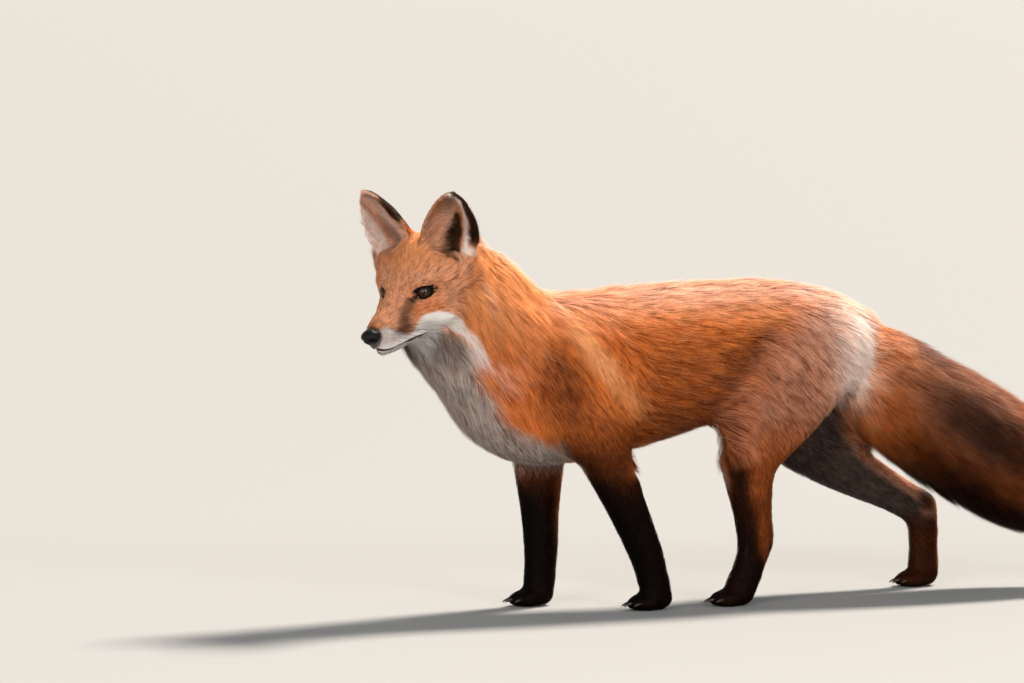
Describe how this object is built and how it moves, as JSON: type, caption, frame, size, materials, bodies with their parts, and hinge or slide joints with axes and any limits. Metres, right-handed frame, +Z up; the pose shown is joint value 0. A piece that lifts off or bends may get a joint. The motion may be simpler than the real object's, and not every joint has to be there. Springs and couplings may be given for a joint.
{
  "type": "red fox",
  "caption": "Life-size red fox standing mid-stride, head turned a little to its left, ears up, long bushy tail trailing behind and low",
  "frame": {"origin": "on the floor under the middle of the bounding box", "axes": "the fox faces -X, its left side is -Y and +Z is up"},
  "size_m": [1.068, 0.1794, 0.5158],
  "materials": {
    "fox_red": "dense red fur",
    "pale_fur": "soft cream fur",
    "black_fur": "short black fur",
    "nose_leather": "moist black leather",
    "amber_eye": "wet gloss"
  },
  "bodies": {
    "root": {"chest": "fox_red", "head": "fox_red", "left_ear": "fox_red", "left_eye": "amber_eye", "left_fore_paw": "black_fur", "left_forearm": "black_fur", "left_hind_paw": "black_fur", "left_shank": "fox_red", "left_thigh": "fox_red", "left_upper_arm": "fox_red", "lower_jaw": "pale_fur", "neck": "fox_red", "nose": "nose_leather", "right_ear": "fox_red", "right_eye": "amber_eye", "right_fore_paw": "black_fur", "right_forearm": "black_fur", "right_hind_paw": "black_fur", "right_shank": "fox_red", "right_thigh": "fox_red", "right_upper_arm": "fox_red", "rump": "fox_red", "tail_brush": "fox_red", "tail_root": "fox_red", "tail_tip": "pale_fur", "trunk": "fox_red"}
  },
  "joints": []
}
